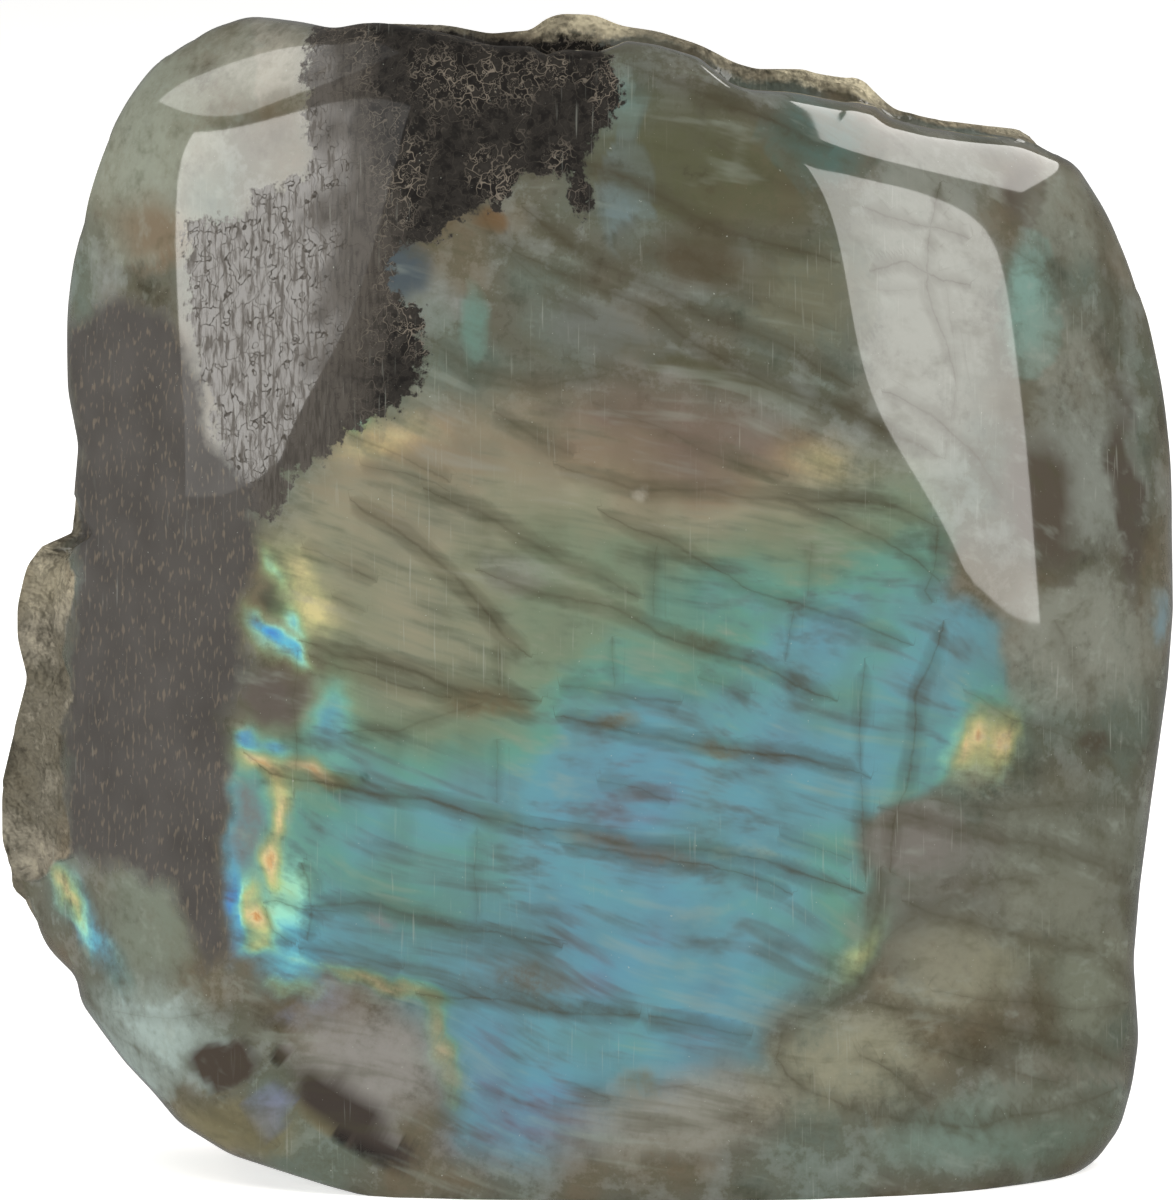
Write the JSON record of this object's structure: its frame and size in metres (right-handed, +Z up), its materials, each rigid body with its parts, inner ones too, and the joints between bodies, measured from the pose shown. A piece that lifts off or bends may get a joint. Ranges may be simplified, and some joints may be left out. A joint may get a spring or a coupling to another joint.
{
  "type": "labradorite freeform chunk with a polished face",
  "caption": "Upright chunk of labradorite feldspar with a domed polished front, a natural broken back and a flat sawn base to stand on; a display mineral.",
  "frame": {"origin": "centre of the stone's outer box, on the flat sawn base", "axes": "+Z up, +Y from the polished front towards the natural back, +X to the right as someone sees it who faces the polished front"},
  "size_m": [0.1093, 0.0476, 0.1084],
  "materials": {
    "stone": "clear polish over grey green feldspar in front, dull natural rind behind"
  },
  "bodies": {
    "root": {"stone": "stone"}
  },
  "joints": []
}
